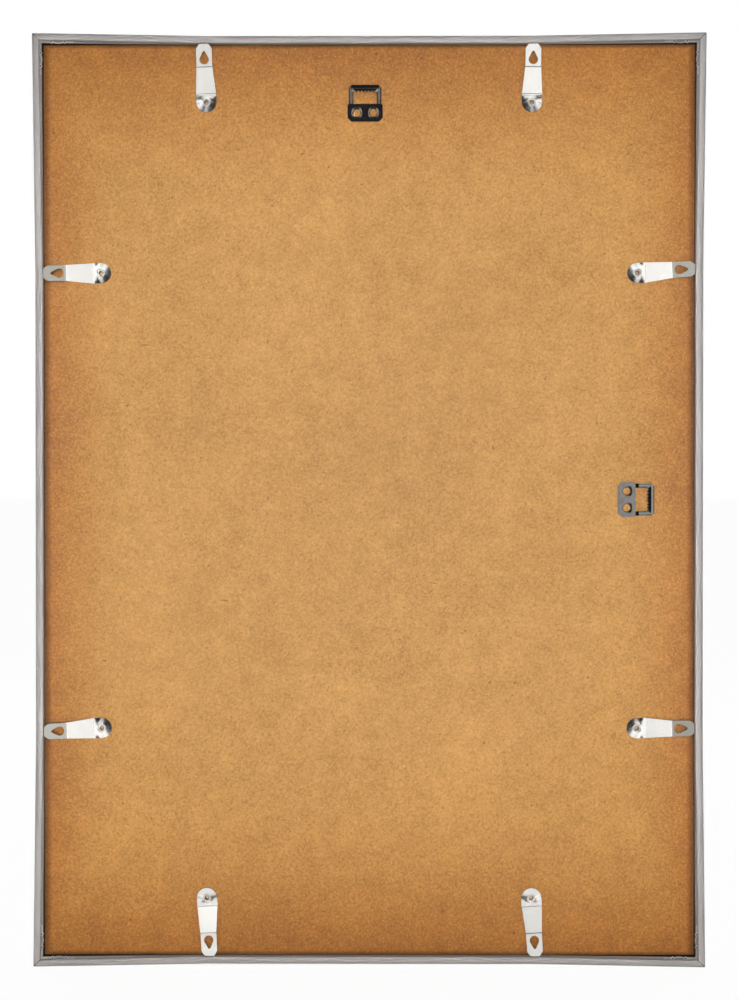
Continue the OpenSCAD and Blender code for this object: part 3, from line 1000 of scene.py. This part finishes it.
def shade_and_joint_finish():
    """Near black plastic: the dark joint on the mitre and painted shade in the rebate."""
    material, shader, place = new_finish("shade_and_joint_plastic")
    streak = place.noise(900.0, 3.0, 0.6) - 0.5
    feed(
        shader,
        Base_Color=(0.5 + streak).blend((0.012, 0.01, 0.009, 1), (0.035, 0.03, 0.027, 1)),
        Roughness=0.55 + streak * 0.2, Normal=streak.bump(0.1, 0.00005),
    )
    return material


# Near black: on the mitre the dark joint, in the rebate painted shade.
shade_and_joint = shade_and_joint_finish()
paint([bars["top"], bars["bottom"]], silver_finish("silver_film_level", (50, 1, 1)), shade_and_joint)
paint([bars["left"], bars["right"]], silver_finish("silver_film_upright", (1, 1, 50)), shade_and_joint)
print("painted the bars")

# %% [markdown]
# The clips and rivets are nickel plated. Plating is a near mirror with a faint warm tint, a slight
# waviness from the rolled strip and hairline scratches from the tumbling drum. The rivets are duller
# and warmer than the clips. The keys in the corners are zinc plated, greyer and so matt that they mirror
# next to nothing. One recipe serves all three, and the marks that the pieces carry blend it from torn
# metal brightened as a painted glint, through whole and dull, to near black painted shade in pits and
# hollows. The darker dull colour on the clip tips is painted shade too.

# %% Plated finishes
# The near black of the painted shade in pits and hollows.
PIT_SHADE_COLOUR = (0.02, 0.014, 0.01, 1)


def plated_finish(name, dark, light, dulled_and_shaded, shine, wave, metal, fade):
    """Plating whose metal fades with the mark for dulling and painted shade, unless fade is 0."""
    material, shader, place = new_finish(name)
    cloud = place.noise(160.0, 2.0) - 0.5
    dust = place.noise(2200.0, 2.0) - 0.5
    hair = place.turned((15, 40, 0), (1, 1, 30)).noise(2400.0, 2.0, 0.6).between(0.6, 0.75)
    cross = place.turned((0, -35, 20), (1, 1, 30)).noise(2100.0, 2.0, 0.6).between(0.62, 0.76)
    scratch = hair + cross
    dull_and_shade = place.node("ShaderNodeAttribute", {"attribute_name": "dull_and_shade"}, {}, out="Fac")
    # The torn mark adds a painted glint and the top mark near black painted shade.
    torn_glint, pit_shade = dull_and_shade.between(WHOLE, TORN_GLINT), dull_and_shade.between(DULL, PIT_SHADE)
    tone = 0.5 + cloud * 0.9 + dust * 0.4 - scratch * 0.12 + torn_glint * 0.5
    colour = dull_and_shade.blend(tone.blend(dark, light), dulled_and_shaded)
    feed(
        shader, Base_Color=pit_shade.blend(colour, PIT_SHADE_COLOUR),
        Metallic=metal - dull_and_shade * fade if fade else metal,
        Roughness=shine + cloud * 0.03 + scratch * 0.03 + dust * 0.02 + dull_and_shade * 0.02,
        Normal=(cloud * wave + dust * 0.008 + scratch * 0.01).bump(0.3, 0.0002),
    )
    return material


clip_plating = plated_finish(
    "clip_plating", dark=(0.76, 0.735, 0.69, 1), light=(0.87, 0.855, 0.82, 1),
    dulled_and_shaded=(0.31, 0.3, 0.262, 1), shine=0.17, wave=0.04, metal=1.0, fade=0,
)
rivet_plating = plated_finish(
    "rivet_plating", dark=(0.82, 0.77, 0.71, 1), light=(0.96, 0.93, 0.88, 1),
    dulled_and_shaded=(0.6, 0.4, 0.24, 1), shine=0.24, wave=0.1, metal=0.35, fade=0.25,
)
key_zinc = plated_finish(
    "key_zinc", dark=(0.36, 0.35, 0.335, 1), light=(0.95, 0.93, 0.9, 1),
    dulled_and_shaded=(0.3, 0.28, 0.26, 1), shine=0.3, wave=0.2, metal=0.1, fade=0,
)
for pieces, plating in ((clips, clip_plating), (rivets, rivet_plating), (keys, key_zinc)):
    paint(pieces.values(), plating)
print("painted clips, rivets and keys")

# %% [markdown]
# The hangers are blackened steel with a thin oiled film. It looks black where it mirrors the dark
# around the camera and like gunmetal where it mirrors a lamp, so it is a dark metal rather than a
# paint, with rubbed patches where the stamping touched its neighbours.

# %% Blackened steel finish
def black_finish():
    material, shader, place = new_finish("blackened_steel")
    cloud = place.noise(190.0, 3.0) - 0.5
    fine = place.noise(2600.0, 3.0, 0.65) - 0.5
    rub = place.noise(700.0, 4.0, 0.7).between(0.62, 0.75)
    tone = 0.45 + cloud * 0.8 + fine * 0.4
    colour = tone.blend((0.14, 0.131, 0.122, 1), (0.28, 0.263, 0.246, 1))
    colour = (rub * 0.4).blend(colour, (0.32, 0.3, 0.28, 1))
    feed(
        shader, Base_Color=colour, Metallic=1.0, Roughness=0.1 + cloud * 0.04 + fine * 0.03,
        Normal=(cloud * 0.5 + fine * 0.03).bump(0.2, 0.0001),
    )
    return material


paint(hangers.values(), black_finish())
print("painted the hangers")

# %% [markdown]
# On the picture side a clear plastic sheet covers a plain paper sheet, which stands where a poster
# would go. Real refraction would cost many bounces of light here and show no more, so the sheet is a
# film that mirrors about a tenth of the light, a little more where it was wiped, and lets the rest
# through. The paper is uncoated and shows its soft felted formation.

# %% Clear sheet and paper
def clear_finish():
    material, shader, place = new_finish("clear_sheet")
    haze = place.noise(14.0, 4.0, 0.6).between(0.45, 0.75)
    wipe = place.turned((0, 30, 0), (1, 1, 25)).noise(320.0, 3.0, 0.7).between(0.6, 0.8)
    feed(
        shader, Base_Color=(0.95, 0.97, 0.975, 1), Metallic=1.0,
        Roughness=0.03 + haze * 0.04 + wipe * 0.04, Alpha=0.08 + haze * 0.03 + wipe * 0.04,
    )
    return material


def paper_finish():
    material, shader, place = new_finish("plain_paper")
    cloud = place.noise(35.0, 4.0, 0.6) - 0.5
    felt = place.noise(900.0, 4.0, 0.7) - 0.5
    tone = 0.5 + cloud * 0.6 + felt * 0.6
    feed(
        shader, Base_Color=tone.blend((0.83, 0.82, 0.785, 1), (0.92, 0.915, 0.89, 1)),
        Roughness=0.85 + felt * 0.1, Normal=felt.bump(0.15, 0.00008),
    )
    return material


paint([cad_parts["glazing_sheet"]], clear_finish())
paint([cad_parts["insert_sheet"]], paper_finish())
print("painted the clear sheet and the paper")

# %% [markdown]
# The frame stands on a pale floor in a white studio. A floor that were only bright enough to look white
# would need lamps that bleach the board, so the camera and mirrors see mostly the floor's own white, and
# the little that is left of its lit colour keeps the shadow under the frame.

# %% Floor
FLOOR_SIZE, FLOOR_AHEAD, FLOOR_WHITE = 40, 19.87, 0.97


def floor_finish():
    material, shader, place = new_finish("pale_floor")
    tree = material.node_tree
    felt = place.noise(60.0, 3.0) - 0.5
    pale = (0.5 + felt * 0.5).blend((0.86, 0.86, 0.855, 1), (0.90, 0.90, 0.895, 1))
    feed(shader, Base_Color=pale, Roughness=0.8)
    path = tree.nodes.new("ShaderNodeLightPath")
    rays = ("Is Camera Ray", "Is Glossy Ray", "Is Transmission Ray")
    seen, mirrored, through = (Wire(tree, path.outputs[ray]) for ray in rays)
    shown = seen.sum("MAXIMUM", seen.sum("MAXIMUM", seen, mirrored), through) * FLOOR_WHITE
    white = place.node("ShaderNodeEmission", {}, {"Color": (1, 1, 1, 1), "Strength": 1.0})
    lit = Wire(tree, shader.outputs[0])
    mixed = place.node("ShaderNodeMixShader", {}, {0: shown, 1: lit, 2: white})
    tree.links.new(mixed.socket, tree.nodes["Material Output"].inputs["Surface"])
    return material


clear_bench()
floor_at = (MIDDLE.x, MIDDLE.y + FLOOR_AHEAD, low.z)
bpy.ops.mesh.primitive_plane_add(size=FLOOR_SIZE, location=floor_at)
floor = bpy.context.object
floor.name = "floor"
settle()
paint([floor], floor_finish())
print("floor at z =", round(low.z, 4))

# %% [markdown]
# A soft box by the camera lights the back. It shines in a narrow cone, so that the light falls off
# towards the corners, and mirrors don't see it, so that metal stays clear. What the bright metal mirrors
# is a row of boxes with dark gaps between them: one behind the camera for the sheen of the board, two
# tall ones left and right for the side clips, and small pairs above and below for the feet, arms and tips
# of the others. Each of these is given by how brightly it glows, and its power follows from its size.

# %% Lamps on the back
BOARD_PLANE = MIDDLE + Vector((0, BOARD_AT * MM, 0))
MAIN_UP, MAIN_BACK, MAIN_SPREAD = 0.018, -1.64, 13.7
FAR_OUT = 0.5  # boxes further to the side than this turn towards the middle
# Each row: name, place from the board's middle, width, height and glow.
MIRRORED_BOXES = (
    ("box_sheen", 0, -1.64, 0, 0.66, 0.85, 0.9),
    ("box_left", -1.05, -3, 0, 1.1, 1.65, 1.35),
    ("box_right", 1.05, -3, 0, 1.1, 1.65, 1.3),
    ("box_high_left", -0.72, -3, 1.55, 0.6, 0.7, 1.1),
    ("box_high_right", 0.72, -3, 1.55, 0.6, 0.7, 1.1),
    ("box_low_left", -0.72, -3, -1.55, 0.6, 0.7, 1.1),
    ("box_low_right", 0.72, -3, -1.55, 0.6, 0.7, 1.1),
    ("box_upper_left", -0.28, -1.7, 0.72, 0.34, 0.28, 1.03),
    ("box_upper_right", 0.26, -1.7, 0.72, 0.34, 0.28, 1.2),
    ("box_arm_left", -0.28, -1.7, 0.46, 0.34, 0.22, 1.22),
    ("box_arm_right", 0.26, -1.7, 0.46, 0.34, 0.22, 0.86),
    ("box_ceiling_left", -0.28, -1.7, 1.43, 0.34, 0.5, 0.7),
    ("box_ceiling_right", 0.26, -1.7, 1.43, 0.34, 0.5, 0.6),
    ("box_lower_left", -0.28, -1.7, -0.5, 0.34, 0.22, 0.96),
    ("box_lower_right", 0.26, -1.7, -0.5, 0.34, 0.22, 1.2),
    ("box_foot_left", -0.28, -1.7, -0.8, 0.34, 0.16, 1.25),
    ("box_foot_right", 0.26, -1.7, -0.77, 0.34, 0.2, 0.92),
)


def soft_box(name, at, aim, wide, tall, power):
    """A rectangular lamp that stands at a place and looks at another, counted from the board."""
    at, aim = BOARD_PLANE + Vector(at), BOARD_PLANE + Vector(aim)
    clear_bench()
    bpy.ops.object.light_add(type="AREA", location=at)
    lamp = bpy.context.object
    lamp.name = lamp.data.name = name
    lamp.data.shape = "RECTANGLE"
    lamp.data.size, lamp.data.size_y = wide, tall
    lamp.data.energy = power
    lamp.rotation_euler = (aim - at).to_track_quat("-Z", "Y").to_euler()
    return lamp


main_box = soft_box(
    "box_camera", (0, MAIN_BACK, MAIN_UP), (0, 0, MAIN_UP), wide=0.66, tall=0.72, power=1.02
)
main_box.data.spread = math.radians(MAIN_SPREAD)
main_box.visible_glossy = False
for name, x, y, z, wide, tall, glow in MIRRORED_BOXES:
    aim = (0, 0, 0) if abs(x) > FAR_OUT else (x, y + 1, z)
    soft_box(name, (x, y, z), aim, wide, tall, glow * math.pi * wide * tall)
print("lamps on the back:", 1 + len(MIRRORED_BOXES))

# %% [markdown]
# On the picture side three large boxes light the paper evenly. The world is white to the camera and a
# weak grey as light. Metal sees it white on the picture side and almost black behind the camera, where
# a real studio is dark.

# %% Lamps on the picture side, and the world
WORLD_LIGHT, WORLD_DARK = 0.2, 0.02
soft_box("box_front_left", (-1.5, 1.5, 0.6), (0, 0, 0), wide=2.0, tall=2.4, power=17)
soft_box("box_front_right", (1.5, 1.4, 0.4), (0, 0, 0), wide=1.6, tall=2.4, power=13)
soft_box("box_front_top", (0, 1.4, 1.7), (0, 0, 0), wide=2.4, tall=1.6, power=9)


def light_world():
    world = bpy.data.worlds.new("white_studio")
    bpy.context.scene.world = world
    world.use_nodes = True
    tree = world.node_tree
    path = tree.nodes.new("ShaderNodeLightPath")
    rays = ("Is Camera Ray", "Is Glossy Ray", "Is Transmission Ray")
    seen, mirrored, through = (Wire(tree, path.outputs[ray]) for ray in rays)
    sight = Wire(tree, tree.nodes.new("ShaderNodeTexCoord").outputs["Generated"])
    picture_side = sight.way("Y").between(-0.1, 0.35)
    in_metal = picture_side * (1 - WORLD_DARK) + WORLD_DARK
    ambient = WORLD_LIGHT + mirrored * (in_metal - WORLD_LIGHT)
    shown = seen.sum("MAXIMUM", seen, through)
    strength = shown + (1 - shown) * ambient
    background = tree.nodes["Background"]
    background.inputs["Color"].default_value = (1, 1, 1, 1)
    tree.links.new(strength.socket, background.inputs["Strength"])


light_world()
bpy.context.scene.view_settings.view_transform = "Standard"

# %% [markdown]
# The camera stands square to the back, about a metre and a half away and a touch above the middle, with
# a normal lens. Its place and tilt come from the corners of the rim and of the board in the picture.

# %% Camera
IMAGE_HIGH = 1000
FOCAL_PIXELS = 1951.8
SENSOR_HIGH = 24
CAMERA_AT = (0.0098, -1.5, -0.2999)
CAMERA_DOWN, CAMERA_LEFT = 0.549, 0.261
camera_data = bpy.data.cameras.new("camera")
camera_data.sensor_fit = "VERTICAL"
camera_data.sensor_height = SENSOR_HIGH
camera_data.lens = FOCAL_PIXELS / IMAGE_HIGH * SENSOR_HIGH
camera = bpy.data.objects.new("camera", camera_data)
camera.location = CAMERA_AT
camera.rotation_euler = (math.radians(90 - CAMERA_DOWN), 0, math.radians(CAMERA_LEFT))
bpy.context.scene.collection.objects.link(camera)
bpy.context.scene.camera = camera
print("camera at", CAMERA_AT, "lens", round(camera_data.lens, 2))
